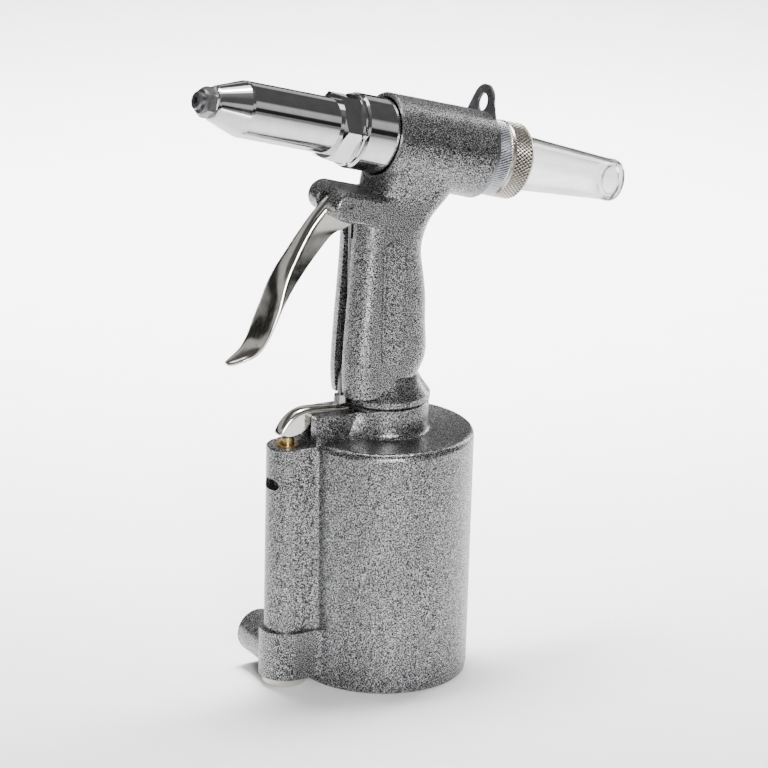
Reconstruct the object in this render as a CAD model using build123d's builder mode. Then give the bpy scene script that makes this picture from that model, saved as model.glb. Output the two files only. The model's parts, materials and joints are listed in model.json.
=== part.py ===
"""Air-hydraulic hand riveter, as an assembly of separate pieces, in millimetres.

The tool stands on the flat base of its air cylinder. The origin is the centre of that base,
+Z runs up the cylinder and the handle, and the nose points to -X, tilted up. The plane y = 0
is the tool's plane of symmetry, and the air inlet faces +Y.

Barrel pieces are drawn by station: distance along the barrel's axis from where it crosses the
handle's axis, positive towards the nose, with the radius across it.
"""

import os
from math import cos, radians, sin

from build123d import *

# ---------------------------------------------------------------- driving dimensions
# Barrel
BARREL_HEIGHT = 247.7       # where the barrel's axis crosses the handle's axis
BARREL_TILT = 16.25         # degrees that the nose points up
BARREL_R = 19.5
BARREL_FRONT = 6.0          # stations of the casting's two faces
BARREL_REAR = -43.8
SOCKET_R = 17.2             # front and rear threads of the casting
SOCKET_BOTTOM = -10.0
PISTON_BORE_R = 14.5
REAR_THREAD_R = 16.0
REAR_THREAD_FRONT = -38.0

# Nose and hydraulic piston
ROD_R = 7.0                 # rod of the hydraulic piston
SLEEVE_R = 16.8
SLEEVE_FRONT = 22.0
HOUSING_R = 12.5
HOUSING_BORE_R = 9.4
HOUSING_REAR = 8.2
HOUSING_FRONT = 92.7
NOSE_THREAD_R = 5.05
NOSE_TIP = 100.4
MANDREL_R = 1.9             # way for the spent mandrel
TAIL_R = 5.0                # tail tube of the hydraulic piston

# Rear of the barrel
HANGER_REAR = -45.2
CAP_REAR = -53.9
SPIGOT_REAR = -60.3         # thread that carries the collector's nut
SPIGOT_R = 14.92
NUT_R = 17.2
NUT_REAR = -65.4
BOTTLE_END = -120.4

# Handle
HALF_WIDTH = 14.0           # of the grip and of the trigger ears
COLLAR_R = 19.8
COLLAR_BOTTOM = 128.1
COLLAR_SHOULDER = 131.0     # where the collar starts to curve into the grip
COLLAR_TOP = 145.0
CHANNEL_HALF = 3.3          # channel for the pull rod, up the front of the grip
CHANNEL_BOTTOM_X = -13.6
TUBE_R = 10.5               # steel oil tube inside the grip
TUBE_BORE_R = 7.4
TUBE_TOP = 200.0
CHAMBER_TOP = 206.0         # oil chamber above the tube

# Trigger and its pin
TRIGGER_PIN_X = -27.1
TRIGGER_PIN_Z = 223.5
TRIGGER_PIN_R = 1.35
EAR_SLOT_HALF = 4.6
TRIGGER_SHEET = 1.5         # thickness of the stamped trigger

# Air cylinder
CYLINDER_R = 40.0
CYLINDER_FOOT_R = 39.1
CYLINDER_BORE_R = 36.2
CYLINDER_TOP = 113.9
CAP_R = 38.5
CAP_TOP = 3.3
CEILING = 106.0             # underside of the cylinder's end wall
NECK_R = 19.4
NECK_BORE_R = 12.0
NECK_TOP = 127.5
RAM_R = 7.0
GLAND_TOP = 116.0           # where the ram's gland meets the oil tube

# Air valve, in a tube cast on the front of the cylinder
VALVE_X = -49.4
VALVE_R = 9.4
VALVE_TOP = 113.0
VALVE_BLOCK_R = 11.6
VALVE_BLOCK_TOP = 26.5
VALVE_BLOCK_BOTTOM = 4.2
VALVE_BORE_R = 6.5
BUSH_R = 5.7
STEM_R = 3.0
STEM_TOP = 117.0
INLET_Z = 15.0
INLET_R = 10.2
INLET_END = 26.0
INLET_THREAD_R = 5.7        # quarter-inch pipe thread, minor radius
INLET_BUSH_R = 8.0
INLET_BUSH_INNER = 8.0      # inner end of the inlet's steel bush

# Valve lever and the bracket that carries it
LEVER_PIN_X = -33.0
LEVER_PIN_Z = 119.9
LEVER_PIN_R = 1.3
BRACKET_FRONT = -39.8
BRACKET_TOP = 126.1
BRACKET_SLOT_HALF = 4.0
LEVER_HALF = 3.6
LEVER_SHEET = 1.2
ROD_FOOT_X = -23.4          # pull rod at the valve lever
ROD_HEAD_X = -19.6          # pull rod at the trigger
ROD_HEAD_Z = 221.8
PULL_ROD_R = 0.9

RUNNING = 0.05              # radial clearance of shafts, pins and pistons

# ---------------------------------------------------------------- planes and axes
tilt = radians(BARREL_TILT)
nose_direction = Vector(-cos(tilt), 0, sin(tilt))
barrel_up = Vector(sin(tilt), 0, cos(tilt))
barrel_origin = Vector(0, 0, BARREL_HEIGHT)
barrel_axis = Axis(origin=barrel_origin, direction=nose_direction)
barrel_side = Plane(origin=barrel_origin, x_dir=nose_direction, z_dir=(0, 1, 0))
valve_side = Plane(origin=(VALVE_X, 0, 0), x_dir=(1, 0, 0), z_dir=(0, -1, 0))
valve_axis = Axis(origin=(VALVE_X, 0, 0), direction=(0, 0, 1))


def barrel_plane(station):
    """Plane across the barrel, facing the nose, with its x axis up and its y axis along +Y."""
    return Plane(origin=barrel_origin + nose_direction * station, x_dir=barrel_up, z_dir=nose_direction)


def turn(points, plane=barrel_side, axis=barrel_axis, mode=Mode.ADD):
    """Solid of revolution of a closed outline of (station, radius) points."""
    with BuildSketch(plane) as outline:
        with BuildLine():
            Polyline(*points, close=True)
        make_face()
    revolve(outline.sketch, axis=axis, mode=mode)


def turn_upright(points, mode=Mode.ADD):
    """The same about the cylinder's axis, from (radius, height) points."""
    turn(points, Plane.XZ, Axis.Z, mode)


def turn_valve(points, mode=Mode.ADD):
    """The same about the valve's axis, from (radius, height) points."""
    turn(points, valve_side, valve_axis, mode)


def ring(plane, axis, centre, size):
    """Rounded ring about an axis, from the centre and size of its section."""
    with BuildSketch(plane) as section:
        with Locations(centre):
            RectangleRounded(*size, 0.3 * min(size))
    revolve(section.sketch, axis=axis)


def barrel_ring(rear, front, inner, outer):
    """Rounded ring about the barrel's axis."""
    centre = ((rear + front) / 2, (inner + outer) / 2)
    ring(barrel_side, barrel_axis, centre, (front - rear, outer - inner))


def upright_ring(bottom, top, inner, outer):
    """Rounded ring about the cylinder's axis."""
    centre = ((inner + outer) / 2, (bottom + top) / 2)
    ring(Plane.XZ, Axis.Z, centre, (outer - inner, top - bottom))


def valve_ring(bottom, top, inner, outer):
    """Rounded ring about the valve's axis."""
    centre = ((inner + outer) / 2, (bottom + top) / 2)
    ring(valve_side, valve_axis, centre, (outer - inner, top - bottom))


def coil(start, direction, length, coil_radius, wire_radius, turns):
    """Helical spring of round wire, from the centre of its first coil."""
    with BuildLine() as helix:
        path = Helix(length / turns, length, coil_radius, center=start, direction=direction)
    with BuildSketch(Plane(origin=path @ 0, z_dir=path % 0)) as wire:
        Circle(wire_radius)
    sweep(wire.sketch, path=helix.line, is_frenet=True)


def cross_pin(x, z, radius, half_length):
    """Straight pin along Y with chamfered ends."""
    with BuildSketch(Plane.XZ) as section:
        with Locations((x, z)):
            Circle(radius)
    extrude(section.sketch, amount=half_length, both=True)
    chamfer(edges().filter_by(GeomType.CIRCLE), 0.25 * radius)


def side_hole(x, z, radius, half_length):
    """Hole along Y through what is already there."""
    with BuildSketch(Plane.XZ) as section:
        with Locations((x, z)):
            Circle(radius)
    extrude(section.sketch, amount=half_length, both=True, mode=Mode.SUBTRACT)


def box_cut(low, high):
    """Rectangular cut between two corners."""
    middle = [(a + b) / 2 for a, b in zip(low, high)]
    size = [b - a for a, b in zip(low, high)]
    with Locations(tuple(middle)):
        Box(*size, mode=Mode.SUBTRACT)


def finish(piece, label):
    """Name a finished piece and write it."""
    piece.part.label = label
    export_step(piece.part, f"parts/{label}.step")


os.makedirs("parts", exist_ok=True)

# ================================================================ nose
HEX_TOP = 98.2              # front of the nosepiece's hexagon
STUB_R = 3.95               # round end in front of the hexagon
RIVET_R = 1.6               # way for the rivet's mandrel

with BuildPart() as nosepiece:
    with BuildSketch(barrel_plane(HOUSING_FRONT)):
        RegularPolygon(radius=6.0, side_count=6, major_radius=False, rotation=8)
    extrude(amount=HEX_TOP - HOUSING_FRONT)
    turn([(HOUSING_FRONT, 0), (HOUSING_FRONT, 6.4), (HOUSING_FRONT + 0.6, 7.0), (HEX_TOP - 1.8, 7.0),
          (HEX_TOP, 5.3), (HEX_TOP, 0)], mode=Mode.INTERSECT)
    turn([(79.6, 0), (79.6, 2.6), (81.2, 3.4), (85.0, 3.4), (85.4, NOSE_THREAD_R),
          (HOUSING_FRONT, NOSE_THREAD_R), (HOUSING_FRONT, STUB_R), (NOSE_TIP - 0.4, STUB_R),
          (NOSE_TIP, STUB_R - 0.45), (NOSE_TIP, 0)])
    turn([(75, 0), (75, RIVET_R), (NOSE_TIP + 5, RIVET_R), (NOSE_TIP + 5, 0)], mode=Mode.SUBTRACT)
finish(nosepiece, "nosepiece")

with BuildPart() as nose_housing:
    turn([(HOUSING_REAR, HOUSING_BORE_R), (HOUSING_REAR, 12.1), (HOUSING_REAR + 0.4, HOUSING_R),
          (77.4, HOUSING_R), (78.7, 12.3), (91.6, 7.95), (92.4, 7.4), (HOUSING_FRONT, 6.8),
          (HOUSING_FRONT, NOSE_THREAD_R), (84.0, NOSE_THREAD_R), (77.0, HOUSING_BORE_R)])
finish(nose_housing, "nose_housing")

NUT_FLANGE = 24.2           # front of the lock nut's round flange
LOCK_NUT_FRONT = 33.0

with BuildPart() as lock_nut:
    with BuildSketch(barrel_plane(SLEEVE_FRONT + 0.1)):
        RegularPolygon(radius=14.3, side_count=6, major_radius=False, rotation=34)
    extrude(amount=LOCK_NUT_FRONT - SLEEVE_FRONT - 0.1)
    turn([(SLEEVE_FRONT, 0), (SLEEVE_FRONT, 30), (NUT_FLANGE, 30), (NUT_FLANGE, 15.4), (25.4, 16.6),
          (31.6, 16.6), (LOCK_NUT_FRONT, 14.2), (LOCK_NUT_FRONT, 0)], mode=Mode.INTERSECT)
    turn([(SLEEVE_FRONT + 0.1, HOUSING_R), (SLEEVE_FRONT + 0.1, 15.5), (SLEEVE_FRONT + 0.7, 16.1),
          (23.6, 16.1), (NUT_FLANGE, 15.4), (NUT_FLANGE, HOUSING_R)])
    turn([(0, 0), (0, HOUSING_R), (60, HOUSING_R), (60, 0)], mode=Mode.SUBTRACT)
finish(lock_nut, "lock_nut")

with BuildPart() as head_sleeve:
    turn([(SOCKET_BOTTOM, ROD_R + RUNNING), (SOCKET_BOTTOM, 16.6), (SOCKET_BOTTOM + 0.6, SOCKET_R),
          (1.0, SOCKET_R), (1.4, SLEEVE_R), (21.2, SLEEVE_R), (SLEEVE_FRONT, 16.0),
          (SLEEVE_FRONT, HOUSING_R), (8.0, HOUSING_R), (8.0, ROD_R + RUNNING), (-2.5, ROD_R + RUNNING),
          (-2.5, 10.0), (-6.0, 10.0), (-6.0, ROD_R + RUNNING)])
finish(head_sleeve, "head_sleeve")

with BuildPart() as rod_seal:
    barrel_ring(-5.9, -2.6, ROD_R + RUNNING, 10.0)
finish(rod_seal, "rod_seal")

# ================================================================ pulling head and hydraulic piston
CASE_REAR = 42.0
CASE_FRONT = 82.5

with BuildPart() as jaw_case:
    turn([(CASE_REAR, 6.0), (CASE_REAR, 8.5), (42.5, 9.0), (76.0, 9.0), (CASE_FRONT, 5.3), (CASE_FRONT, 4.2),
          (66.0, 7.4), (52.0, 7.4), (52.0, 6.0)])
    with Locations(barrel_plane(47.0)):
        with PolarLocations(9.0, 2):
            Box(2.0, 9.0, 4.0, mode=Mode.SUBTRACT)
finish(jaw_case, "jaw_case")

JAW_COUNT = 3
JAW_SLOT = 0.6              # gap between two jaws

with BuildPart() as jaws:
    turn([(66.5, 1.7), (66.5, 6.95), (79.2, 4.5), (79.2, 2.3), (78.4, 1.7)])
    with Locations(barrel_plane(73.0)):
        with PolarLocations(5.0, JAW_COUNT):
            Box(10.0, JAW_SLOT, 20.0, mode=Mode.SUBTRACT)
finish(jaws, "jaws")

with BuildPart() as jaw_pusher:
    turn([(54.0, MANDREL_R), (54.0, 3.6), (62.0, 3.6), (62.0, 6.6), (66.5, 6.6), (66.5, MANDREL_R)])
finish(jaw_pusher, "jaw_pusher")

with BuildPart() as pusher_spring:
    coil(barrel_origin + nose_direction * 52.8, nose_direction, 8.4, 5.2, 0.45, 5)
finish(pusher_spring, "pusher_spring")

PISTON_R = PISTON_BORE_R - RUNNING
PISTON_FRONT = -12.0
PISTON_REAR = -22.0
SEAL_GROOVE_R = 11.5
TAIL_END = -57.0

with BuildPart() as drawbar:
    turn([(TAIL_END, MANDREL_R), (TAIL_END, TAIL_R - 0.6), (TAIL_END + 0.6, TAIL_R), (PISTON_REAR, TAIL_R),
          (PISTON_REAR, 13.8), (PISTON_REAR + 0.6, PISTON_R), (-18.6, PISTON_R), (-18.6, SEAL_GROOVE_R),
          (-15.4, SEAL_GROOVE_R), (-15.4, PISTON_R), (PISTON_FRONT - 0.6, PISTON_R),
          (PISTON_FRONT, 13.8), (PISTON_FRONT, ROD_R), (CASE_REAR, ROD_R), (CASE_REAR, 6.0), (52.0, 6.0),
          (52.0, MANDREL_R)])
finish(drawbar, "drawbar")

with BuildPart() as piston_seal:
    barrel_ring(-18.5, -15.5, SEAL_GROOVE_R, PISTON_R)
finish(piston_seal, "piston_seal")

with BuildPart() as return_spring:
    coil(barrel_origin + nose_direction * -42.9, nose_direction, 19.8, 10.4, 1.0, 4)
finish(return_spring, "return_spring")

# ================================================================ rear cap, hanger and mandrel collector
with BuildPart() as rear_cap:
    turn([(-44.0, TAIL_R + RUNNING), (-44.0, 13.4), (-38.6, 13.4), (-38.6, REAR_THREAD_R),
          (BARREL_REAR, REAR_THREAD_R), (BARREL_REAR, 15.0), (HANGER_REAR, 15.0), (HANGER_REAR, 16.6),
          (HANGER_REAR - 0.4, 17.0), (CAP_REAR + 0.5, 17.0), (CAP_REAR, 16.4), (CAP_REAR, SPIGOT_R),
          (SPIGOT_REAR, SPIGOT_R), (SPIGOT_REAR, TAIL_R + RUNNING), (-52.0, TAIL_R + RUNNING), (-52.0, 7.5),
          (-49.0, 7.5), (-49.0, TAIL_R + RUNNING)])
finish(rear_cap, "rear_cap")

with BuildPart() as tail_seal:
    barrel_ring(-51.9, -49.1, TAIL_R + RUNNING, 7.5)
finish(tail_seal, "tail_seal")

EAR_CENTRE = (22.9, 4.5)    # of the hanging eye, up from and across the barrel's axis
EAR_R = 8.1
EYE_R = 4.0

with BuildPart() as hanger:
    with BuildSketch(barrel_plane(HANGER_REAR)):
        Circle(BARREL_R + 0.1)
        with BuildLine():
            Polyline((0, -12), (18.2, -8.0), (EAR_CENTRE[0] + 1.6, EAR_CENTRE[1] - EAR_R),
                     (EAR_CENTRE[0] + 1.6, EAR_CENTRE[1] + EAR_R), (15.4, 15.8), (0, 17), close=True)
        make_face()
        with Locations(EAR_CENTRE):
            Circle(EAR_R)
        Circle(15.0, mode=Mode.SUBTRACT)
        with Locations(EAR_CENTRE):
            Circle(EYE_R, mode=Mode.SUBTRACT)
    extrude(amount=BARREL_REAR - HANGER_REAR)
finish(hanger, "hanger")

LIP_FRONT = -63.2
LIP_R = 12.9

with BuildPart() as collector_nut:
    turn([(-54.2, 15.0), (-54.2, 16.6), (-54.7, NUT_R), (-64.2, NUT_R), (-65.1, 16.7), (NUT_REAR, 15.6),
          (NUT_REAR, LIP_R), (LIP_FRONT, LIP_R), (LIP_FRONT, 15.0)])
finish(collector_nut, "collector_nut")

with BuildPart() as collector_gasket:
    barrel_ring(-61.7, -60.6, 11.6, 14.4)
finish(collector_gasket, "collector_gasket")

with BuildPart() as collector_bottle:
    turn([(-61.7, 11.4), (-61.7, 14.7), (-63.1, 14.7), (-63.1, 12.65), (-66.0, 12.55), (-114.5, 9.55),
          (-116.5, 9.6), (-118.6, 9.75), (-120.0, 9.35), (BOTTLE_END, 8.4), (-120.2, 7.0), (-119.4, 6.2),
          (-119.4, 0), (-117.8, 0), (-117.8, 7.0), (-116.6, 8.0), (-66.0, 11.2)])
finish(collector_bottle, "collector_bottle")

# ================================================================ handle casting
# Sections of the handle: height, front and rear extent, half width, front and rear corner radii
SPINE_SECTIONS = [
    (132.8, 13.6, 14.9, HALF_WIDTH, 11.0, 11.0),
    (146.0, 13.6, 15.7, HALF_WIDTH, 11.0, 11.5),
    (160.0, 13.6, 16.4, HALF_WIDTH, 11.0, 11.5),
    (175.0, 13.6, 16.0, HALF_WIDTH, 11.0, 11.5),
    (188.0, 13.6, 14.4, HALF_WIDTH, 11.0, 11.5),
    (198.0, 13.6, 13.3, HALF_WIDTH, 11.0, 11.5),
    (206.0, 13.6, 14.8, HALF_WIDTH, 11.0, 11.0),
    (213.0, 13.6, 18.6, HALF_WIDTH, 11.0, 11.0),
    (219.0, 13.4, 24.8, HALF_WIDTH, 11.0, 11.5),
    (225.0, 12.6, 29.6, 14.6, 11.5, 12.5),
    (233.0, 10.1, 32.6, 16.4, 12.0, 14.0),
    (241.0, 7.4, 34.0, 18.8, 9.5, 16.0),
]
# The grip's front stands proud of the spine below the trigger; it is a hair narrower
GRIP_HALF = HALF_WIDTH - 0.01
GRIP_SECTIONS = [
    (132.8, 23.6, 1.0, GRIP_HALF, 9.0, 2.0),
    (146.0, 24.5, 1.0, GRIP_HALF, 9.0, 2.0),
    (160.0, 23.8, 1.0, GRIP_HALF, 9.0, 2.0),
    (175.0, 22.7, 1.0, GRIP_HALF, 9.0, 2.0),
    (188.0, 21.7, 1.0, GRIP_HALF, 9.0, 2.0),
    (198.0, 21.1, 1.0, GRIP_HALF, 9.0, 2.0),
    (214.5, 20.2, 1.0, GRIP_HALF, 9.0, 2.0),
]


def column(sections):
    """Smooth column through rounded sections across the handle's axis."""
    outlines = []
    for height, front, rear, half, front_r, rear_r in sections:
        with BuildSketch(Plane.XY.offset(height)) as outline:
            with BuildLine():
                Polyline((-front, -half), (rear, -half), (rear, half), (-front, half), close=True)
            make_face()
            fillet(outline.vertices().group_by(Axis.X)[0], front_r)
            fillet(outline.vertices().group_by(Axis.X)[-1], rear_r)
        outlines.append(outline.sketch)
    loft(outlines)


EAR_X = -27.5               # centre of the rounded front of the ears
EAR_Z = 222.5
EAR_ROUND = 6.9
EAR_NOTCH = (-9.6, 224.4)   # low point between the ears and the barrel
EAR_EDGE = 2.2
PLATE_X = -4.3              # plain raised plate on the side of the grip
PLATE_Z = 175.5
PLATE_LENGTH = 59.0
PLATE_WIDTH = 12.3

with BuildPart() as ears:
    with BuildSketch(Plane.XZ) as ear_profile:
        with BuildLine():
            Polyline((-25.56, 229.12), EAR_NOTCH, (-3.8, 226.6), (-2, 238), (4, 238), (4, 209),
                     (-15, 211.9), (-29.4, 215.87), close=True)
        make_face()
        fillet(ear_profile.vertices().sort_by_distance(EAR_NOTCH)[0], 5.0)
        fillet(ear_profile.vertices().sort_by_distance((-3.8, 226.6))[0], 2.0)
        with Locations((EAR_X, EAR_Z)):
            Circle(EAR_ROUND)
    extrude(amount=HALF_WIDTH, both=True)
    flanks = ears.faces().filter_by(Axis.Y)
    rims = flanks.edges().filter_by(lambda edge: edge.center().X < -3.0 and edge.center().Z > 212.5)
    fillet(rims, EAR_EDGE)

with BuildPart() as frame:
    column(SPINE_SECTIONS)
    column(GRIP_SECTIONS)
    with BuildSketch(Plane.XZ) as collar:
        with BuildLine():
            Polyline((COLLAR_R, COLLAR_SHOULDER), (COLLAR_R, COLLAR_BOTTOM + 0.5),
                     (COLLAR_R - 0.5, COLLAR_BOTTOM), (0, COLLAR_BOTTOM), (0, COLLAR_TOP),
                     (13.9, COLLAR_TOP))
            Spline((COLLAR_R, COLLAR_SHOULDER), (17.1, 134.8), (14.7, 138.9), (13.9, COLLAR_TOP))
        make_face()
    revolve(axis=Axis.Z)
    turn([(BARREL_REAR, 0), (BARREL_REAR, BARREL_R), (BARREL_FRONT - 0.6, BARREL_R),
          (BARREL_FRONT, BARREL_R - 0.6), (BARREL_FRONT, 0)])
    add(ears.part)
    with BuildSketch(Plane.XZ.offset(HALF_WIDTH - 0.5)):
        with Locations((PLATE_X, PLATE_Z)):
            SlotOverall(PLATE_LENGTH, PLATE_WIDTH, rotation=90)
    extrude(amount=1.0)
    with BuildSketch(Plane.XZ.offset(HALF_WIDTH + 0.2)):
        with Locations((PLATE_X, PLATE_Z)):
            SlotOverall(PLATE_LENGTH - 2.0, PLATE_WIDTH - 2.0, rotation=90)
            SlotOverall(PLATE_LENGTH - 3.2, PLATE_WIDTH - 3.2, rotation=90, mode=Mode.SUBTRACT)
    extrude(amount=1.0, mode=Mode.SUBTRACT)
    # bores of the barrel
    turn([(BARREL_FRONT + 1, 0), (BARREL_FRONT + 1, 17.6), (1.0, 17.6), (1.0, SOCKET_R),
          (SOCKET_BOTTOM, SOCKET_R), (SOCKET_BOTTOM, PISTON_BORE_R), (REAR_THREAD_FRONT, PISTON_BORE_R),
          (REAR_THREAD_FRONT, REAR_THREAD_R), (BARREL_REAR - 1, REAR_THREAD_R), (BARREL_REAR - 1, 0)],
         mode=Mode.SUBTRACT)
    # bore for the oil tube, the chamber above it and the duct up to the piston
    turn_upright([(0, COLLAR_BOTTOM - 1), (TUBE_R, COLLAR_BOTTOM - 1), (TUBE_R, TUBE_TOP),
                  (TUBE_BORE_R, TUBE_TOP), (TUBE_BORE_R, CHAMBER_TOP), (0, CHAMBER_TOP)],
                 mode=Mode.SUBTRACT)
    with BuildSketch(Plane(origin=(1.5, 0, 203.0), z_dir=(5.0, 0, 29.0))):
        Circle(2.2)
    extrude(amount=32.0, mode=Mode.SUBTRACT)
    # channel for the pull rod and slot for the trigger
    box_cut((-40.0, -CHANNEL_HALF, COLLAR_BOTTOM - 1), (CHANNEL_BOTTOM_X, CHANNEL_HALF, 213.0))
    with BuildSketch(Plane.XZ):
        with BuildLine():
            Polyline((-40, 205), (-40, 227.3), (-24, 227.3), (-15.5, 225.4), (-15.5, 205), close=True)
        make_face()
    extrude(amount=EAR_SLOT_HALF, both=True, mode=Mode.SUBTRACT)
    side_hole(TRIGGER_PIN_X, TRIGGER_PIN_Z, TRIGGER_PIN_R, 20.0)
finish(frame, "frame")

with BuildPart() as oil_tube:
    turn_upright([(TUBE_BORE_R, GLAND_TOP), (NECK_BORE_R, GLAND_TOP), (NECK_BORE_R, NECK_TOP),
                  (TUBE_R, NECK_TOP), (TUBE_R, TUBE_TOP), (TUBE_BORE_R, TUBE_TOP)])
finish(oil_tube, "oil_tube")

# ================================================================ trigger and pull rod
TRIGGER_FRONT = [(-30.0, 225.4), (-38.9, 217.0), (-45.7, 208.3), (-50.4, 201.5), (-55.0, 194.4),
                 (-58.6, 187.1), (-60.9, 179.8), (-63.4, 172.6), (-66.3, 165.9), (-70.9, 159.9),
                 (-75.4, 157.4), (-80.8, 155.4)]
TRIGGER_REAR = [(-80.6, 153.9), (-75.0, 155.6), (-70.6, 157.2), (-67.7, 158.8), (-66.0, 162.8),
                (-61.4, 170.2), (-58.5, 177.4), (-54.3, 184.0), (-49.5, 190.3), (-43.9, 196.5),
                (-37.8, 202.6), (-31.3, 209.0)]
# Half width of the trigger by height
TRIGGER_WIDTHS = [(230, 4.2), (211, 4.2), (206, 4.6), (201, 5.0), (194, 6.3), (187, 7.7), (180, 8.7),
                  (172, 9.3), (166, 8.8), (160, 7.0), (157, 5.0), (153.5, 1.6)]
ROD_LUG_R = 1.8
ROD_PIN_R = 1.0


def inset(points, distance):
    """Points moved to the left of their own direction of travel."""
    moved = []
    for index, point in enumerate(points):
        before = Vector(*points[max(index - 1, 0)])
        after = Vector(*points[min(index + 1, len(points) - 1)])
        along = (after - before).normalized()
        moved.append((point[0] - along.Y * distance, point[1] + along.X * distance))
    return moved


def trigger_outline(shrink):
    """Width of the trigger seen from the front, as a solid reaching through it."""
    right = [(half - shrink, height) for height, half in TRIGGER_WIDTHS]
    left = [(-half, height) for half, height in reversed(right)]
    with BuildSketch(Plane.YZ.offset(-90)) as outline:
        with BuildLine():
            Polyline(*right, *left, close=True)
        make_face()
    extrude(outline.sketch, amount=80, mode=Mode.INTERSECT)


with BuildPart() as trigger_hollow:
    with BuildSketch(Plane.XZ):
        with BuildLine():
            inner_front = inset(TRIGGER_FRONT[:-1], TRIGGER_SHEET)
            Spline(*inner_front)
            Polyline(inner_front[-1], (-74, 150), (-10, 150), (-10, 232), (-25, 232), inner_front[0])
        make_face()
    extrude(amount=30, both=True)
    trigger_outline(TRIGGER_SHEET)

with BuildPart() as trigger:
    with BuildSketch(Plane.XZ):
        with BuildLine():
            Spline(*TRIGGER_FRONT)
            Line(TRIGGER_FRONT[-1], TRIGGER_REAR[0])
            Spline(*TRIGGER_REAR)
            Polyline(TRIGGER_REAR[-1], (-26.9, 210.7), (-21.4, 210.7), (-17.85, 221.2), (-19.0, 223.5),
                     (-26.0, 226.7), TRIGGER_FRONT[0])
        make_face()
        with Locations((TRIGGER_PIN_X, TRIGGER_PIN_Z)):
            Circle(3.4)
        with Locations((ROD_HEAD_X, ROD_HEAD_Z)):
            Circle(ROD_LUG_R)
    extrude(amount=30, both=True)
    trigger_outline(0)
    add(trigger_hollow.part, mode=Mode.SUBTRACT)
    side_hole(TRIGGER_PIN_X, TRIGGER_PIN_Z, TRIGGER_PIN_R + RUNNING, 20.0)
    side_hole(ROD_HEAD_X, ROD_HEAD_Z, ROD_PIN_R, 20.0)
finish(trigger, "trigger")

with BuildPart() as trigger_pin:
    cross_pin(TRIGGER_PIN_X, TRIGGER_PIN_Z, TRIGGER_PIN_R, 10.0)
finish(trigger_pin, "trigger_pin")

with BuildPart() as rod_pin:
    cross_pin(ROD_HEAD_X, ROD_HEAD_Z, ROD_PIN_R, 4.1)
finish(rod_pin, "rod_pin")

BEND_BOTTOM = 138.0         # where the pull rod bends forward, on its way down
BEND_TOP = 152.0

with BuildPart() as pull_rod:
    with BuildLine(Plane.XZ):
        foot = Line((ROD_FOOT_X, 119.6), (ROD_FOOT_X, BEND_BOTTOM))
        Spline((ROD_FOOT_X, BEND_BOTTOM), (ROD_HEAD_X, BEND_TOP), tangents=((0, 1), (0, 1)))
        Line((ROD_HEAD_X, BEND_TOP), (ROD_HEAD_X, ROD_HEAD_Z - 1.5))
    with BuildSketch(Plane(origin=foot @ 0, z_dir=foot % 0)):
        Circle(PULL_ROD_R)
    sweep()
    with BuildSketch(Plane.XZ):
        with Locations((ROD_HEAD_X, ROD_HEAD_Z)):
            Circle(1.9)
    extrude(amount=1.0, both=True)
    side_hole(ROD_HEAD_X, ROD_HEAD_Z, ROD_PIN_R + 0.25, 5.0)
finish(pull_rod, "pull_rod")

with BuildPart() as rod_nuts:
    with BuildSketch(Plane.XY.offset(120.4), Plane.XY.offset(128.8)):
        with Locations((ROD_FOOT_X, 0)):
            RegularPolygon(radius=2.9, side_count=6)
            Circle(PULL_ROD_R, mode=Mode.SUBTRACT)
    extrude(amount=3.7)
finish(rod_nuts, "rod_nuts")

# ================================================================ air cylinder casting
TUBE_BACK = -25.0           # where the valve tube's web ends, inside the cylinder's wall
WEDGE_INNER = 4.5           # inner edge of the wedges, either side of the lever's slot


def flat_sided(radius, top):
    """Tube round the valve, flat-sided back to the cylinder, with soft inner corners."""
    with BuildSketch(Plane.XY.offset(VALVE_BLOCK_BOTTOM)) as outline:
        Circle(CYLINDER_FOOT_R - 0.1)
        with Locations((VALVE_X, 0)):
            Circle(radius)
        with Locations(((VALVE_X + TUBE_BACK) / 2, 0)):
            Rectangle(TUBE_BACK - VALVE_X, 2 * radius)
        fillet(outline.vertices().filter_by_position(Axis.X, -39.0, -36.0), 4.5)
    extrude(outline.sketch, amount=top - VALVE_BLOCK_BOTTOM)


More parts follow.
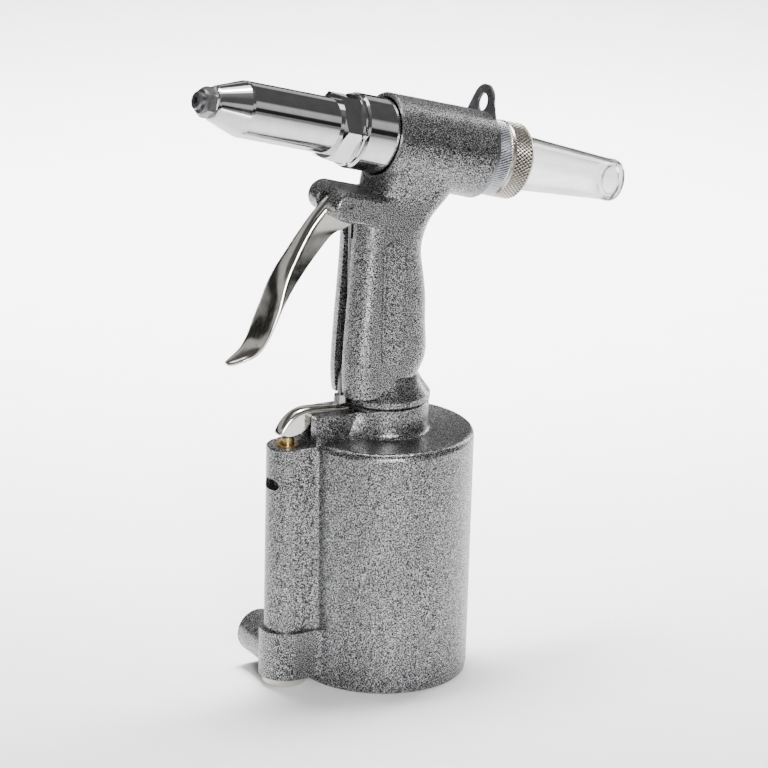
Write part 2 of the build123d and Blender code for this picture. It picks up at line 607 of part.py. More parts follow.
with BuildPart() as cylinder:
    turn_upright([(0, CAP_TOP), (CYLINDER_FOOT_R, CAP_TOP), (CYLINDER_R, 110.5), (CYLINDER_R, CYLINDER_TOP),
                  (0, CYLINDER_TOP)])
    fillet(cylinder.edges().filter_by(GeomType.CIRCLE).group_by(Axis.Z)[-1], 3.0)
    turn_upright([(0, 110.0), (NECK_R, 110.0), (NECK_R, NECK_TOP - 0.4), (NECK_R - 0.4, NECK_TOP),
                  (0, NECK_TOP)])
    foot_rim = cylinder.edges().filter_by(GeomType.CIRCLE).filter_by_position(Axis.Z, 113.8, 114.0)
    fillet(foot_rim.sort_by(SortBy.RADIUS)[0], 2.5)
    # valve tube and the wider block at its foot
    flat_sided(VALVE_R, VALVE_TOP - 2.0)
    flat_sided(VALVE_BLOCK_R, VALVE_BLOCK_TOP)
    turn_valve([(0, 100.0), (VALVE_R, 100.0), (VALVE_R, VALVE_TOP - 0.5), (VALVE_R - 0.5, VALVE_TOP),
                (0, VALVE_TOP)])
    with BuildSketch(Plane.XY.offset(100.0)):
        with Locations(((VALVE_X + TUBE_BACK) / 2, 0)):
            Rectangle(TUBE_BACK - VALVE_X, 2 * VALVE_R)
    extrude(amount=VALVE_TOP - 100.0)
    with BuildSketch(Plane.XZ):
        with Locations((VALVE_X, INLET_Z)):
            Circle(INLET_R)
    extrude(amount=-INLET_END)
    # bracket for the valve lever, with wedges either side of the neck
    with BuildSketch(Plane.XZ) as bracket:
        with BuildLine():
            Polyline((BRACKET_FRONT, 110), (BRACKET_FRONT, BRACKET_TOP), (-10, BRACKET_TOP), (-10, 110),
                     close=True)
        make_face()
        fillet(bracket.vertices().sort_by_distance((BRACKET_FRONT, BRACKET_TOP))[0], 1.5)
    extrude(amount=9.3, both=True)
    for side in (-1, 1):
        with BuildSketch(Plane.XY.offset(CYLINDER_TOP - 1)) as wedge_foot:
            with BuildLine():
                Polyline((-26.0, side * 9.0), (-16.7, side * 10.4), (-12.0, side * WEDGE_INNER),
                         (-26.0, side * WEDGE_INNER), close=True)
            make_face()
        with BuildSketch(Plane.XY.offset(BRACKET_TOP)) as wedge_head:
            with BuildLine():
                Polyline((-19.9, side * 9.0), (-13.2, side * 14.1), (-10.0, side * WEDGE_INNER),
                         (-19.9, side * WEDGE_INNER), close=True)
            make_face()
        loft([wedge_foot.sketch, wedge_head.sketch])
    # bores
    turn_upright([(0, 0), (CYLINDER_BORE_R, 0), (CYLINDER_BORE_R, CEILING), (NECK_BORE_R, CEILING),
                  (NECK_BORE_R, 130), (0, 130)], mode=Mode.SUBTRACT)
    turn_valve([(0, 0), (VALVE_BORE_R, 0), (VALVE_BORE_R, 88), (BUSH_R, 88), (BUSH_R, 120), (0, 120)],
               mode=Mode.SUBTRACT)
    with BuildSketch(Plane.XZ):
        with Locations((VALVE_X, INLET_Z)):
            Circle(4.0)
    extrude(amount=-INLET_END, mode=Mode.SUBTRACT)
    with BuildSketch(Plane.XZ.offset(-INLET_BUSH_INNER)):
        with Locations((VALVE_X, INLET_Z)):
            Circle(INLET_BUSH_R)
    extrude(amount=INLET_BUSH_INNER - INLET_END, mode=Mode.SUBTRACT)
    # passage from the valve to the underside of the piston
    with BuildSketch(Plane(origin=(VALVE_X + 4.0, 0, 37.0), z_dir=(12.0, 0, -26.5))):
        Circle(1.6)
    extrude(amount=29.5, mode=Mode.SUBTRACT)
    # exhaust slot in front of the valve tube
    with BuildSketch(Plane.YZ.offset(VALVE_X - 14.0)):
        with Locations((0, 96.0)):
            SlotOverall(12.0, 5.0)
    extrude(amount=11.0, mode=Mode.SUBTRACT)
    # slot and pin hole of the lever
    box_cut((-41.0, -BRACKET_SLOT_HALF, 114.5), (-19.0, BRACKET_SLOT_HALF, 130.0))
    side_hole(LEVER_PIN_X, LEVER_PIN_Z, LEVER_PIN_R, 12.0)
finish(cylinder, "cylinder")

BASE_GROOVE_R = 33.5

with BuildPart() as bottom_cap:
    turn_upright([(0, 0), (CAP_R - 0.6, 0), (CAP_R, 0.6), (CAP_R, CAP_TOP), (CYLINDER_BORE_R, CAP_TOP),
                  (CYLINDER_BORE_R, 4.5), (BASE_GROOVE_R, 4.5), (BASE_GROOVE_R, 7.0),
                  (CYLINDER_BORE_R, 7.0), (CYLINDER_BORE_R, 8.0), (12.0, 8.0), (12.0, 5.0), (0, 5.0)])
    with PolarLocations(24.0, 2):
        Hole(3.0, depth=2.5)
finish(bottom_cap, "bottom_cap")

with BuildPart() as base_seal:
    upright_ring(4.55, 6.95, BASE_GROOVE_R, CYLINDER_BORE_R)
finish(base_seal, "base_seal")

with BuildPart() as bumper:
    upright_ring(8.0, 12.5, 16.0, 26.0)
finish(bumper, "bumper")

# ================================================================ air piston and ram
PISTON_BOTTOM = 13.0
PISTON_TOP = 25.0
AIR_PISTON_R = CYLINDER_BORE_R - RUNNING
AIR_GROOVE_R = 32.0
RAM_STUD_R = 6.0            # threaded foot of the ram, through the piston and its nut
RAM_FOOT = 8.9
RAM_TOP = 132.0

with BuildPart() as air_piston:
    turn_upright([(RAM_STUD_R, PISTON_BOTTOM), (AIR_PISTON_R - 1, PISTON_BOTTOM),
                  (AIR_PISTON_R, PISTON_BOTTOM + 1), (AIR_PISTON_R, 17.0), (AIR_GROOVE_R, 17.0),
                  (AIR_GROOVE_R, 21.0), (AIR_PISTON_R, 21.0), (AIR_PISTON_R, PISTON_TOP - 1),
                  (AIR_PISTON_R - 1, PISTON_TOP), (RAM_STUD_R, PISTON_TOP)])
finish(air_piston, "air_piston")

with BuildPart() as air_piston_seal:
    upright_ring(17.05, 20.95, AIR_GROOVE_R, AIR_PISTON_R)
finish(air_piston_seal, "air_piston_seal")

with BuildPart() as ram:
    turn_upright([(0, RAM_FOOT), (RAM_STUD_R - 0.5, RAM_FOOT), (RAM_STUD_R, RAM_FOOT + 0.5),
                  (RAM_STUD_R, PISTON_TOP), (RAM_R, PISTON_TOP), (RAM_R, RAM_TOP - 1.0),
                  (RAM_R - 1.0, RAM_TOP), (0, RAM_TOP)])
finish(ram, "ram")

with BuildPart() as piston_nut:
    with BuildSketch(Plane.XY.offset(RAM_FOOT)):
        RegularPolygon(radius=8.0, side_count=6, major_radius=False)
        Circle(RAM_STUD_R, mode=Mode.SUBTRACT)
    extrude(amount=PISTON_BOTTOM - RAM_FOOT)
finish(piston_nut, "piston_nut")

with BuildPart() as ram_gland:
    turn_upright([(RAM_R + RUNNING, 101.5), (16.4, 101.5), (17.0, 102.1), (17.0, CEILING),
                  (NECK_BORE_R, CEILING), (NECK_BORE_R, GLAND_TOP), (RAM_R + RUNNING, GLAND_TOP),
                  (RAM_R + RUNNING, 112.0), (10.0, 112.0), (10.0, 109.0), (RAM_R + RUNNING, 109.0)])
finish(ram_gland, "ram_gland")

with BuildPart() as ram_seal:
    upright_ring(109.05, 111.95, RAM_R + RUNNING, 10.0)
finish(ram_seal, "ram_seal")

# ================================================================ air valve
with BuildPart() as valve_plug:
    turn_valve([(0, 0.3), (9.4, 0.3), (10.0, 0.9), (10.0, VALVE_BLOCK_BOTTOM),
                (VALVE_BORE_R, VALVE_BLOCK_BOTTOM), (VALVE_BORE_R, 10.0), (0, 10.0)])
    with BuildSketch(Plane(origin=(VALVE_X, 0, 0.3))):
        RegularPolygon(radius=4.0, side_count=6, major_radius=False)
    extrude(amount=3.0, mode=Mode.SUBTRACT)
finish(valve_plug, "valve_plug")

with BuildPart() as valve_spring:
    coil((VALVE_X, 0, 10.8), (0, 0, 1), 13.5, 3.6, 0.4, 6)
finish(valve_spring, "valve_spring")

SPOOL_R = VALVE_BORE_R - 0.08
SPOOL_GROOVE_R = 4.8
SPOOL_TOP = 70.0

with BuildPart() as valve_spool:
    turn_valve([(0, 25.0), (SPOOL_R, 25.0), (SPOOL_R, 30.0), (STEM_R, 30.0), (STEM_R, 56.0), (SPOOL_R, 56.0),
                (SPOOL_R, 58.0), (SPOOL_GROOVE_R, 58.0), (SPOOL_GROOVE_R, 60.0), (SPOOL_R, 60.0),
                (SPOOL_R, 62.0), (STEM_R, 62.0), (STEM_R, SPOOL_TOP), (0, SPOOL_TOP)])
finish(valve_spool, "valve_spool")

with BuildPart() as spool_seal:
    valve_ring(58.05, 59.95, SPOOL_GROOVE_R, VALVE_BORE_R - RUNNING)
finish(spool_seal, "spool_seal")

with BuildPart() as valve_stem:
    turn_valve([(0, SPOOL_TOP), (STEM_R, SPOOL_TOP), (STEM_R, STEM_TOP - 1.1), (2.7, STEM_TOP - 0.5),
                (2.0, STEM_TOP - 0.15), (1.0, STEM_TOP), (0, STEM_TOP)])
finish(valve_stem, "valve_stem")

with BuildPart() as valve_seat:
    turn_valve([(3.8, 44.0), (VALVE_BORE_R, 44.0), (VALVE_BORE_R, 48.0), (4.4, 48.0), (3.8, 47.4)])
finish(valve_seat, "valve_seat")

with BuildPart() as exhaust_screen:
    turn_valve([(3.6, 88.0), (BUSH_R, 88.0), (BUSH_R, 99.5), (3.6, 99.5)])
finish(exhaust_screen, "exhaust_screen")

with BuildPart() as valve_bush:
    turn_valve([(STEM_R + RUNNING, 100.0), (BUSH_R, 100.0), (BUSH_R, 113.1), (BUSH_R - 0.3, 113.4),
                (STEM_R + 0.5, 113.4), (STEM_R + RUNNING, 112.9), (STEM_R + RUNNING, 106.0), (4.2, 106.0),
                (4.2, 104.0), (STEM_R + RUNNING, 104.0)])
finish(valve_bush, "valve_bush")

with BuildPart() as bush_seal:
    valve_ring(104.05, 105.95, STEM_R + RUNNING, 4.2)
finish(bush_seal, "bush_seal")

with BuildPart() as inlet_bush:
    with BuildSketch(Plane(origin=(VALVE_X, INLET_BUSH_INNER, INLET_Z), z_dir=(0, 1, 0))):
        Circle(INLET_BUSH_R)
        Circle(INLET_THREAD_R, mode=Mode.SUBTRACT)
    extrude(amount=INLET_END - INLET_BUSH_INNER)
    mouth = inlet_bush.edges().filter_by(GeomType.CIRCLE).group_by(Axis.Y)[-1]
    chamfer(mouth.sort_by(SortBy.RADIUS)[0], 0.6)
finish(inlet_bush, "inlet_bush")

# ================================================================ valve lever
LEVER_TOP = [(-20.6, 128.0), (-24.0, 128.0), (-32.0, 128.7), (-40.0, 129.3), (-46.4, 128.1), (-50.8, 125.3),
             (-53.5, 122.3), (-55.2, 118.7)]
FOOT_REAR = (-43.0, 119.0)

with BuildPart() as valve_lever:
    with BuildSketch(Plane.XZ):
        with BuildLine():
            Spline(*LEVER_TOP)
            ThreePointArc(LEVER_TOP[-1], (-49.4, 117.3), FOOT_REAR)
            Polyline(FOOT_REAR, (-41.0, 120.5), (-38.2, 125.3), (-36.9, 125.3), (-36.6, LEVER_PIN_Z),
                     (-29.4, LEVER_PIN_Z), (-29.1, 125.3), (-20.6, 125.3), LEVER_TOP[0])
        make_face()
        with Locations((LEVER_PIN_X, LEVER_PIN_Z)):
            Circle(3.6)
    extrude(amount=LEVER_HALF, both=True)
    fillet(valve_lever.edges().filter_by(GeomType.BSPLINE).filter_by_position(Axis.Z, 122, 130), 0.9)
    with BuildSketch(Plane.XZ):
        with BuildLine():
            roof = inset(LEVER_TOP[:5], LEVER_SHEET)
            Spline(*roof)
            Polyline(roof[-1], (-45.0, 110), (-15, 110), (-15, roof[0][1]), roof[0])
        make_face()
    extrude(amount=LEVER_HALF - LEVER_SHEET, both=True, mode=Mode.SUBTRACT)
    box_cut((ROD_FOOT_X - 1.4, -1.3, 126.0), (-19.0, 1.3, 130.0))
    side_hole(LEVER_PIN_X, LEVER_PIN_Z, LEVER_PIN_R + RUNNING, 12.0)
finish(valve_lever, "valve_lever")

with BuildPart() as lever_pin:
    cross_pin(LEVER_PIN_X, LEVER_PIN_Z, LEVER_PIN_R, 6.8)
finish(lever_pin, "lever_pin")
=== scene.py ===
"""Looks of the air-hydraulic hand riveter: materials, knurled rings, levers, light and camera.

Everything is in metres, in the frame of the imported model. Barrel pieces are placed by station,
the distance along the barrel's axis from where it crosses the handle's axis, towards the nose.
"""
import json
import math

import bmesh
import bpy
from mathutils import Matrix, Vector


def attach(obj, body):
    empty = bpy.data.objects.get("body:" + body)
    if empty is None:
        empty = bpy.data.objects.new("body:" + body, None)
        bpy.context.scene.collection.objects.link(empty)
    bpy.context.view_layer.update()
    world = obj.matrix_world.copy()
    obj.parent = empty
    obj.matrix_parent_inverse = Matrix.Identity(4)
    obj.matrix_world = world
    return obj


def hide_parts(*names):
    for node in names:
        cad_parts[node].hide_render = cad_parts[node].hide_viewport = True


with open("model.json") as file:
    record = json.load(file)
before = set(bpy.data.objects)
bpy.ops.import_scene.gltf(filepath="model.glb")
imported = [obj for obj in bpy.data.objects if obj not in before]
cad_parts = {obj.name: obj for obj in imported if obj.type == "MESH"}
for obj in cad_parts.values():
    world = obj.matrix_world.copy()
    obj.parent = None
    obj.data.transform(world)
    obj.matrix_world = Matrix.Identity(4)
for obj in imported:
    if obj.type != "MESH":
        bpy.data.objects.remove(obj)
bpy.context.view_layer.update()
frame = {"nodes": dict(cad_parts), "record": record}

MM = 0.001

# ---------------------------------------------------------------- the barrel's own directions
TILT = math.radians(16.25)
NOSE = Vector((-math.cos(TILT), 0, math.sin(TILT)))
UP = Vector((math.sin(TILT), 0, math.cos(TILT)))
SIDE = Vector((0, 1, 0))
CROSSING = Vector((0, 0, 247.7))    # in millimetres, where the barrel's axis crosses the handle's


# ---------------------------------------------------------------- node materials
class Surface:
    """A Principled material with helpers for the textures that drive it."""

    def __init__(self, name, **values):
        self.material = bpy.data.materials.new(name)
        self.material.use_nodes = True
        self.tree = self.material.node_tree
        self.shader = self.tree.nodes["Principled BSDF"]
        for socket, value in values.items():
            self.shader.inputs[socket.replace("_", " ")].default_value = value
        self.coordinates = self.node("ShaderNodeTexCoord").outputs["Object"]

    def node(self, kind, **settings):
        made = self.tree.nodes.new(kind)
        for key, value in settings.items():
            setattr(made, key, value)
        return made

    def link(self, output, socket):
        self.tree.links.new(output, socket)

    def stretched(self, scale):
        """Object coordinates scaled along each axis."""
        mapping = self.node("ShaderNodeMapping")
        mapping.inputs["Scale"].default_value = scale
        self.link(self.coordinates, mapping.inputs["Vector"])
        return mapping.outputs["Vector"]

    def noise(self, scale, detail=4.0, vector=None, roughness=0.55):
        made = self.node("ShaderNodeTexNoise")
        made.inputs["Scale"].default_value = scale
        made.inputs["Detail"].default_value = detail
        made.inputs["Roughness"].default_value = roughness
        self.link(vector or self.coordinates, made.inputs["Vector"])
        return made.outputs["Fac"]

    def cells(self, scale, feature="F1", smooth=0.4):
        made = self.node("ShaderNodeTexVoronoi", feature=feature)
        made.inputs["Scale"].default_value = scale
        if feature == "SMOOTH_F1":
            made.inputs["Smoothness"].default_value = smooth
        self.link(self.coordinates, made.inputs["Vector"])
        return made.outputs["Distance"]

    def ramp(self, value, stops):
        """Colour ramp from (position, colour) stops, or (position, grey)."""
        made = self.node("ShaderNodeValToRGB")
        elements = made.color_ramp.elements
        while len(elements) < len(stops):
            elements.new(0.5)
        for element, (position, colour) in zip(elements, stops):
            element.position = position
            red_green_blue = colour if isinstance(colour, tuple) else (colour, colour, colour)
            element.color = (*red_green_blue, 1)
        self.link(value, made.inputs["Fac"])
        return made.outputs["Color"]

    def mix(self, first, second, factor, blend="MIX"):
        made = self.node("ShaderNodeMix", data_type="RGBA", blend_type=blend)
        if isinstance(factor, float):
            made.inputs["Factor"].default_value = factor
        else:
            self.link(factor, made.inputs["Factor"])
        self.link(first, made.inputs["A"])
        self.link(second, made.inputs["B"])
        return made.outputs["Result"]

    def bump(self, height, distance, strength=1.0, below=None):
        made = self.node("ShaderNodeBump")
        made.inputs["Distance"].default_value = distance
        made.inputs["Strength"].default_value = strength
        self.link(height, made.inputs["Height"])
        if below is not None:
            self.link(below, made.inputs["Normal"])
        return made.outputs["Normal"]

    def drive(self, socket, output):
        self.link(output, self.shader.inputs[socket])


def hammertone():
    """Silver enamel with dark veins between bright flecks, under a soft gloss."""
    paint = Surface("hammertone", Metallic=0.9, Coat_Weight=0.35, Coat_Roughness=0.25)
    veins = paint.noise(2500, detail=1.5, roughness=0.55)
    patches = paint.noise(250, detail=2.0)
    base = paint.ramp(veins, [(0.42, (0.004, 0.004, 0.0045)), (0.49, (0.024, 0.024, 0.026)),
                              (0.55, (0.15, 0.15, 0.153)), (0.62, (0.60, 0.60, 0.605))])
    drift = paint.ramp(patches, [(0.35, 0.85), (0.65, 1.0)])
    paint.drive("Base Color", paint.mix(base, drift, 1.0, "MULTIPLY"))
    paint.drive("Roughness", paint.ramp(veins, [(0.35, 0.50), (0.65, 0.30)]))
    dimples = paint.cells(1500, "SMOOTH_F1")
    paint.drive("Normal", paint.bump(dimples, 0.00008, 0.5, paint.bump(veins, 0.00006, 0.5)))
    return paint.material


def metal(name, colour, rough, grain_scale, wander=0.08, scratch=0.00001, dirt=None,
          painted_groove_shade=False):
    """Bare metal with a faint grain, uneven gloss and fine scratches.

    When set, the mesh's depth attribute darkens the bottom of a knurl: painted shade in its grooves.
    """
    made = Surface(name, Metallic=1.0)
    broad = made.noise(160, detail=3.0)
    grain = made.noise(1.0, detail=5.0, vector=made.stretched(grain_scale))
    dark = tuple(0.86 * c for c in colour)
    tint = made.ramp(broad, [(0.3, dark), (0.65, colour)])
    if dirt is not None:
        spots = made.noise(700, detail=4.0)
        tint = made.mix(tint, made.ramp(spots, [(0.60, 1.0), (0.72, dirt)]), 1.0, "MULTIPLY")
    if painted_groove_shade:
        # painted shade: the deeper a point of the knurl lies, the darker its colour, in place of the
        # shade in its grooves
        depth = made.node("ShaderNodeAttribute", attribute_name="depth").outputs["Fac"]
        tint = made.mix(tint, made.ramp(depth, [(0.35, 1.0), (0.85, 0.10)]), 1.0, "MULTIPLY")
    made.drive("Base Color", tint)
    made.drive("Roughness", made.ramp(grain, [(0.3, max(rough - wander, 0.02)), (0.7, rough + wander)]))
    made.drive("Normal", made.bump(grain, scratch, 0.5))
    return made.material


def rubber():
    """Black rubber with a dull, faintly mottled skin."""
    made = Surface("seal_rubber", Specular_IOR_Level=0.4)
    mottle = made.noise(900, detail=4.0)
    made.drive("Base Color", made.ramp(mottle, [(0.3, 0.012), (0.7, 0.035)]))
    made.drive("Roughness", made.ramp(mottle, [(0.3, 0.55), (0.7, 0.75)]))
    made.drive("Normal", made.bump(mottle, 0.00003, 0.6))
    return made.material


def clear_plastic():
    """Moulded plastic, clear with a faint flow pattern along it."""
    made = Surface("clear_plastic", Transmission_Weight=1.0, IOR=1.46)
    flow = made.noise(1.0, detail=3.0, vector=made.stretched((60, 420, 420)))
    made.drive("Base Color", made.ramp(flow, [(0.3, (0.90, 0.92, 0.91)), (0.7, (0.98, 0.99, 0.98))]))
    made.drive("Roughness", made.ramp(flow, [(0.3, 0.06), (0.7, 0.14)]))
    made.drive("Normal", made.bump(flow, 0.00005, 0.35))
    return made.material


ROUND = (300, 300, 300)     # grain that runs no particular way
MATERIALS = {
    "hammertone": hammertone(),
    "cast_aluminium": metal("cast_aluminium", (0.60, 0.60, 0.61), 0.34, (900, 900, 900), 0.10,
                            0.00002),
    # both knurled finishes paint shade into the bottoms of their grooves
    "knurled_aluminium": metal("knurled_aluminium", (0.62, 0.64, 0.68), 0.28, ROUND, 0.06,
                               painted_groove_shade=True),
    "knurled_nickel": metal("knurled_nickel", (0.72, 0.66, 0.58), 0.24, ROUND, 0.06,
                            painted_groove_shade=True),
    "nickel": metal("nickel", (0.74, 0.71, 0.66), 0.14, (240, 900, 240), 0.06, dirt=0.7),
    "chrome": metal("chrome", (0.80, 0.80, 0.81), 0.06, (200, 700, 200), 0.03, 0.000004),
    "steel": metal("steel", (0.56, 0.56, 0.57), 0.26, (260, 1200, 260), 0.08),
    "steel_dark": metal("steel_dark", (0.20, 0.20, 0.205), 0.34, (500, 500, 500), 0.10, 0.00002,
                        dirt=0.6),
    "spring_steel": metal("spring_steel", (0.40, 0.40, 0.41), 0.30, ROUND),
    "brass": metal("brass", (0.52, 0.38, 0.17), 0.28, (700, 700, 300), 0.07, dirt=0.75),
    "seal": rubber(),
    "screen": metal("screen", (0.05, 0.05, 0.05), 0.6, (1500, 1500, 1500), 0.1, 0.00012,
                    dirt=0.3),
    "clear_plastic": clear_plastic(),
}

for part in frame["record"]["subparts"]:
    mesh_object = frame["nodes"][part["node"]]
    for index in range(len(mesh_object.material_slots)):
        mesh_object.material_slots[index].link = "OBJECT"
        mesh_object.material_slots[index].material = MATERIALS[part["material_slot"]]


def add_piece(name, points, faces, body, node, material, smooth_angle):
    """Makes a mesh from points in millimetres, in place of a CAD node, riding on a body."""
    mesh = bpy.data.meshes.new(name)
    mesh.from_pydata([tuple(MM * c for c in point) for point in points], [], faces)
    mesh.validate()
    mesh.materials.append(MATERIALS[material])
    piece = bpy.data.objects.new(name, mesh)
    bpy.context.collection.objects.link(piece)
    work = bmesh.new()
    work.from_mesh(mesh)
    bmesh.ops.remove_doubles(work, verts=work.verts, dist=1e-7)
    bmesh.ops.recalc_face_normals(work, faces=work.faces)
    for edge in work.edges:
        if len(edge.link_faces) == 2 and edge.calc_face_angle() > smooth_angle:
            edge.smooth = False
    for face in work.faces:
        face.smooth = True
    work.to_mesh(mesh)
    work.free()
    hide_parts(node)
    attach(piece, body)
    return piece


# ---------------------------------------------------------------- knurled rings
FINE_STEP = 0.25            # millimetres between rows of a knurled face


def barrel_point(station, radius, angle):
    """Point in millimetres at a station of the barrel, at a radius and an angle from straight up."""
    return CROSSING + NOSE * station + (UP * math.cos(angle) + SIDE * math.sin(angle)) * radius


def wave(x):
    """Triangular wave from 0 to 1 and back."""
    return 1.0 - abs(2.0 * (x % 1.0) - 1.0)


def lathe(name, profile, segments, relief, body, node, material):
    """Ring about the barrel's axis from a closed outline of (station, radius, knurled) points.

    An edge that starts at a knurled point is divided finely, and relief(station, angle) lowers it.
    """
    outline = []
    for index, (station, radius, knurled) in enumerate(profile):
        after = profile[(index + 1) % len(profile)]
        length = math.hypot(after[0] - station, after[1] - radius)
        steps = max(1, round(length / FINE_STEP)) if knurled else 1
        for step in range(steps):
            share = step / steps
            lowered = knurled and (step > 0 or profile[index - 1][2])
            outline.append((station + share * (after[0] - station),
                            radius + share * (after[1] - radius), lowered))
    points, drops = [], []
    for station, radius, knurled in outline:
        for segment in range(segments):
            angle = 2 * math.pi * segment / segments
            drop = relief(station, angle) if knurled else 0.0
            points.append(barrel_point(station, radius - drop, angle))
            drops.append(drop)
    faces = []
    for row in range(len(outline)):
        below = (row + 1) % len(outline)
        for segment in range(segments):
            beside = (segment + 1) % segments
            faces.append((row * segments + segment, row * segments + beside,
                          below * segments + beside, below * segments + segment))
    piece = add_piece(name, points, faces, body, node, material, math.radians(50))
    deepest = max(drops)
    # depth from 0 to 1, which the knurled materials turn into painted shade in the grooves
    depth = piece.data.attributes.new("depth", "FLOAT", "POINT")
    depth.data.foreach_set("value", [drop / deepest for drop in drops])
    return piece


CAP_TEETH = 84
CAP_LEAD = 2.6              # millimetres along the barrel per tooth of slant
CAP_DEPTH = 0.40
NUT_TEETH = 62
NUT_PITCH = 2.3             # millimetres along the barrel between two diamonds
NUT_DEPTH = 0.55


def cap_relief(station, angle):
    """Depth of slanted grooves."""
    return CAP_DEPTH * (1 - wave(CAP_TEETH * angle / (2 * math.pi) + station / CAP_LEAD))


def nut_relief(station, angle):
    """Depth of crossed grooves that leave diamonds."""
    around = NUT_TEETH * angle / (2 * math.pi)
    along = station / NUT_PITCH
    return NUT_DEPTH * (1 - min(wave(around + along), wave(around - along)))


lathe("rear_cap_knurled",
      [(-44.0, 5.05, False), (-44.0, 13.4, False), (-38.6, 13.4, False), (-38.6, 16.0, False),
       (-43.8, 16.0, False), (-43.8, 15.0, False), (-45.2, 15.0, False), (-45.2, 16.4, False),
       (-45.7, 17.0, True), (-53.3, 17.0, False), (-53.9, 16.4, False), (-53.9, 14.92, False),
       (-60.3, 14.92, False), (-60.3, 5.05, False), (-52.0, 5.05, False), (-52.0, 7.5, False),
       (-49.0, 7.5, False), (-49.0, 5.05, False)],
      CAP_TEETH * 9, cap_relief, "base", "rear_cap", "knurled_aluminium")
lathe("collector_nut_knurled",
      [(-54.2, 15.0, False), (-54.2, 16.3, False), (-54.6, 16.8, False), (-55.1, 17.2, True),
       (-63.9, 17.2, False), (-64.6, 16.8, False), (-65.2, 16.2, False), (-65.4, 15.6, False),
       (-65.4, 12.9, False), (-63.2, 12.9, False), (-63.2, 15.0, False)],
      NUT_TEETH * 10, nut_relief, "collector", "collector_nut", "knurled_nickel")


# ---------------------------------------------------------------- stamped levers
CURVE_STEPS = 24            # between two given points of a curve
CROWN_STEPS = 14            # around half of a lever's crown
LEAST_WIDTH = 0.05          # millimetres, inside the tip of a lever


def along(points, count):
    """Points evenly spaced along a smooth curve through the given ones."""
    curve = []
    for index in range(len(points) - 1):
        p0 = Vector(points[max(index - 1, 0)])
        p1, p2 = Vector(points[index]), Vector(points[index + 1])
        p3 = Vector(points[min(index + 2, len(points) - 1)])
        for step in range(CURVE_STEPS):
            t = step / CURVE_STEPS
            curve.append(0.5 * (2 * p1 + (p2 - p0) * t + (2 * p0 - 5 * p1 + 4 * p2 - p3) * t * t
                                + (3 * p1 - p0 - 3 * p2 + p3) * t ** 3))
    curve.append(Vector(points[-1]))
    return [curve[round(step * (len(curve) - 1) / (count - 1))] for step in range(count)]


def stamped(name, stations, bend, power, sheet, body, node, material, count=120):
    """Pressed channel along (front x, front z, rear x, rear z, half width) stations, open at its rear.

    The front is crowned: its section is a superellipse as deep as the bend, then straight flanges.
    """
    points = []
    for front_x, front_z, rear_x, rear_z, half in along(stations, count):
        front, rear = Vector((front_x, 0, front_z)), Vector((rear_x, 0, rear_z))
        depth = (rear - front).length
        inward = (rear - front).normalized()
        skin = min(sheet, 0.7 * depth)
        section = []
        for width, rise in ((half, 0.0), (half - skin, skin)):
            corner = min(bend, 0.85 * (depth - rise))
            side = []
            width = max(width, LEAST_WIDTH)
            for step in range(CROWN_STEPS + 1):
                turn = 0.5 * math.pi * step / CROWN_STEPS
                across = width * math.sin(turn) ** (2 / power)
                down = rise + corner * (1 - math.cos(turn) ** (2 / power))
                side.append((across, down))
            for step in range(1, 4):
                side.append((width, rise + corner + (depth - rise - corner) * step / 3))
            whole = [(-across, down) for across, down in reversed(side[1:])] + side
            section.extend(whole if rise == 0.0 else reversed(whole))
        points.extend(front + inward * down + SIDE * across for across, down in section)
    ring = len(section)
    faces = []
    for row in range(count - 1):
        for index in range(ring):
            beside = (index + 1) % ring
            faces.append((row * ring + index, row * ring + beside,
                          (row + 1) * ring + beside, (row + 1) * ring + index))
    for row in (0, count - 1):
        for index in range(ring // 2 - 1):
            faces.append((row * ring + index, row * ring + index + 1,
                          row * ring + ring - 2 - index, row * ring + ring - 1 - index))
    return add_piece(name, points, faces, body, node, material, math.radians(45))


stamped("trigger_pressed",
        [(-29.0, 226.4, -19.2, 223.4, 4.1), (-33.4, 222.5, -18.0, 220.0, 4.15),
         (-38.9, 217.0, -20.6, 213.0, 4.2), (-43.0, 212.0, -25.6, 210.6, 4.3),
         (-46.4, 207.4, -31.3, 208.6, 4.7), (-50.4, 201.5, -38.6, 201.9, 5.5),
         (-54.8, 194.7, -44.7, 195.7, 6.6), (-58.3, 187.6, -50.6, 189.0, 7.8),
         (-60.9, 179.8, -55.8, 181.8, 8.8), (-63.1, 173.0, -60.0, 174.0, 9.3),
         (-65.4, 167.4, -63.0, 167.4, 9.0), (-68.0, 162.8, -66.0, 162.0, 8.1),
         (-71.6, 159.4, -69.7, 158.0, 6.6), (-75.6, 157.4, -74.6, 155.8, 4.8),
         (-79.0, 156.1, -78.4, 154.4, 3.0), (-80.5, 155.4, -80.2, 154.2, 1.5)],
        bend=4.2, power=2.7, sheet=1.5, body="trigger", node="trigger", material="nickel")
stamped("valve_lever_pressed",
        [(-20.6, 127.9, -20.6, 125.3, 3.5), (-24.0, 128.0, -24.0, 125.3, 3.55),
         (-30.0, 128.5, -29.6, 125.3, 3.55), (-36.0, 129.1, -35.2, 125.3, 3.55),
         (-40.6, 129.3, -38.6, 124.8, 3.6), (-44.6, 128.8, -40.4, 122.3, 3.6),
         (-48.0, 127.3, -42.0, 120.0, 3.6), (-51.0, 125.0, -44.4, 118.6, 3.6),
         (-53.4, 122.2, -47.6, 117.7, 3.55), (-54.8, 119.9, -50.8, 117.4, 3.4),
         (-55.2, 118.7, -53.2, 117.6, 3.0)],
        bend=2.6, power=2.8, sheet=1.2, body="valve_lever", node="valve_lever",
        material="nickel")

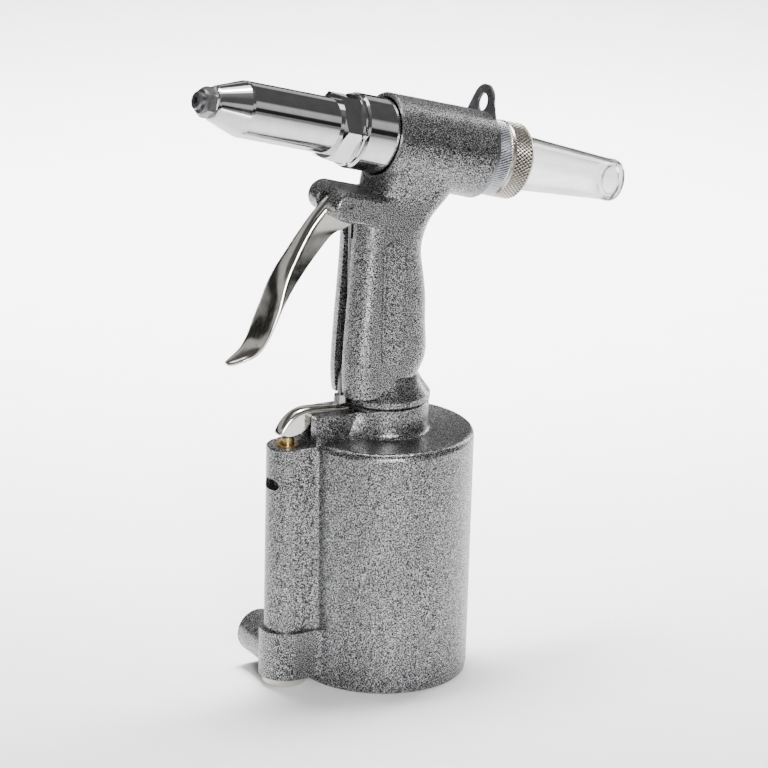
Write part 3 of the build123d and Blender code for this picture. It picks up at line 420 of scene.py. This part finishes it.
# ---------------------------------------------------------------- floor
HALF_FLOOR = 8.0
floor_mesh = bpy.data.meshes.new("floor")
floor_mesh.from_pydata([(-HALF_FLOOR, -HALF_FLOOR, 0), (HALF_FLOOR, -HALF_FLOOR, 0),
                        (HALF_FLOOR, HALF_FLOOR, 0), (-HALF_FLOOR, HALF_FLOOR, 0)], [], [(0, 1, 2, 3)])
floor = bpy.data.objects.new("floor", floor_mesh)
bpy.context.collection.objects.link(floor)
paper = Surface("paper", Roughness=0.9, Specular_IOR_Level=0.1)
fibre = paper.noise(40, detail=4.0)
paper.drive("Base Color", paper.ramp(fibre, [(0.3, 0.90), (0.7, 0.93)]))
floor_mesh.materials.append(paper.material)

# ---------------------------------------------------------------- light
world = bpy.data.worlds.new("studio")
bpy.context.scene.world = world
world.use_nodes = True
sky = world.node_tree
direction = sky.nodes.new("ShaderNodeTexCoord")
height = sky.nodes.new("ShaderNodeSeparateXYZ")
sky.links.new(direction.outputs["Generated"], height.inputs["Vector"])
band = sky.nodes.new("ShaderNodeValToRGB")
# Grey by height above the horizon, from 0 to straight up
BANDS = [(0.0, 0.35), (0.03, 0.02), (0.20, 0.03), (0.27, 0.60), (0.46, 0.70), (0.54, 0.10),
         (0.80, 0.12), (1.0, 0.4)]
stops = band.color_ramp.elements
while len(stops) < len(BANDS):
    stops.new(0.5)
for stop, (position, grey) in zip(stops, BANDS):
    stop.position = position
    stop.color = (grey, grey, grey, 1)
sky.links.new(height.outputs["Z"], band.inputs["Fac"])
background = sky.nodes["Background"]
sky.links.new(band.outputs["Color"], background.inputs["Color"])
background.inputs["Strength"].default_value = 0.9


def softbox(name, position, target, width, length, power, spread=180):
    """Rectangular light aimed at a point, spreading over an angle in degrees."""
    lamp = bpy.data.lights.new(name, "AREA")
    lamp.shape = "RECTANGLE"
    lamp.size = width
    lamp.size_y = length
    lamp.energy = power
    lamp.spread = math.radians(spread)
    placed = bpy.data.objects.new(name, lamp)
    aim = Vector(target) - Vector(position)
    turned = aim.to_track_quat("-Z", "Y").to_matrix().to_4x4()
    placed.matrix_world = Matrix.Translation(position) @ turned
    bpy.context.collection.objects.link(placed)


CENTRE = (0.0, 0.0, 0.13)
softbox("key", (-0.58, -1.6, 0.55), CENTRE, 0.3, 1.0, 46)
softbox("top", (0.1, 0.4, 1.9), CENTRE, 1.4, 1.2, 16)
softbox("backdrop", (0.3, 0.6, 2.0), (0.3, 0.6, 0.0), 1.0, 1.0, 34, spread=50)
softbox("rim", (1.6, 0.5, 0.7), CENTRE, 0.3, 1.2, 18)

# ---------------------------------------------------------------- camera
CAMERA_AZIMUTH = math.radians(-29.42)
CAMERA_ELEVATION = math.radians(18.85)
CAMERA_DISTANCE = 2.0442
CAMERA_TARGET = Vector((-0.00096, 0.0, 0.13384))
CAMERA_ROLL = math.radians(1.27)
CAMERA_LENS = 214.8

camera = bpy.data.objects.new("camera", bpy.data.cameras.new("camera"))
camera.data.lens = CAMERA_LENS
camera.data.sensor_width = 36.0
back = Vector((math.sin(CAMERA_AZIMUTH) * math.cos(CAMERA_ELEVATION),
               -math.cos(CAMERA_AZIMUTH) * math.cos(CAMERA_ELEVATION), math.sin(CAMERA_ELEVATION)))
facing = (-back).to_track_quat("-Z", "Y").to_matrix().to_4x4()
camera.matrix_world = (Matrix.Translation(CAMERA_TARGET + CAMERA_DISTANCE * back) @ facing
                       @ Matrix.Rotation(CAMERA_ROLL, 4, "Z"))
bpy.context.collection.objects.link(camera)
bpy.context.scene.camera = camera
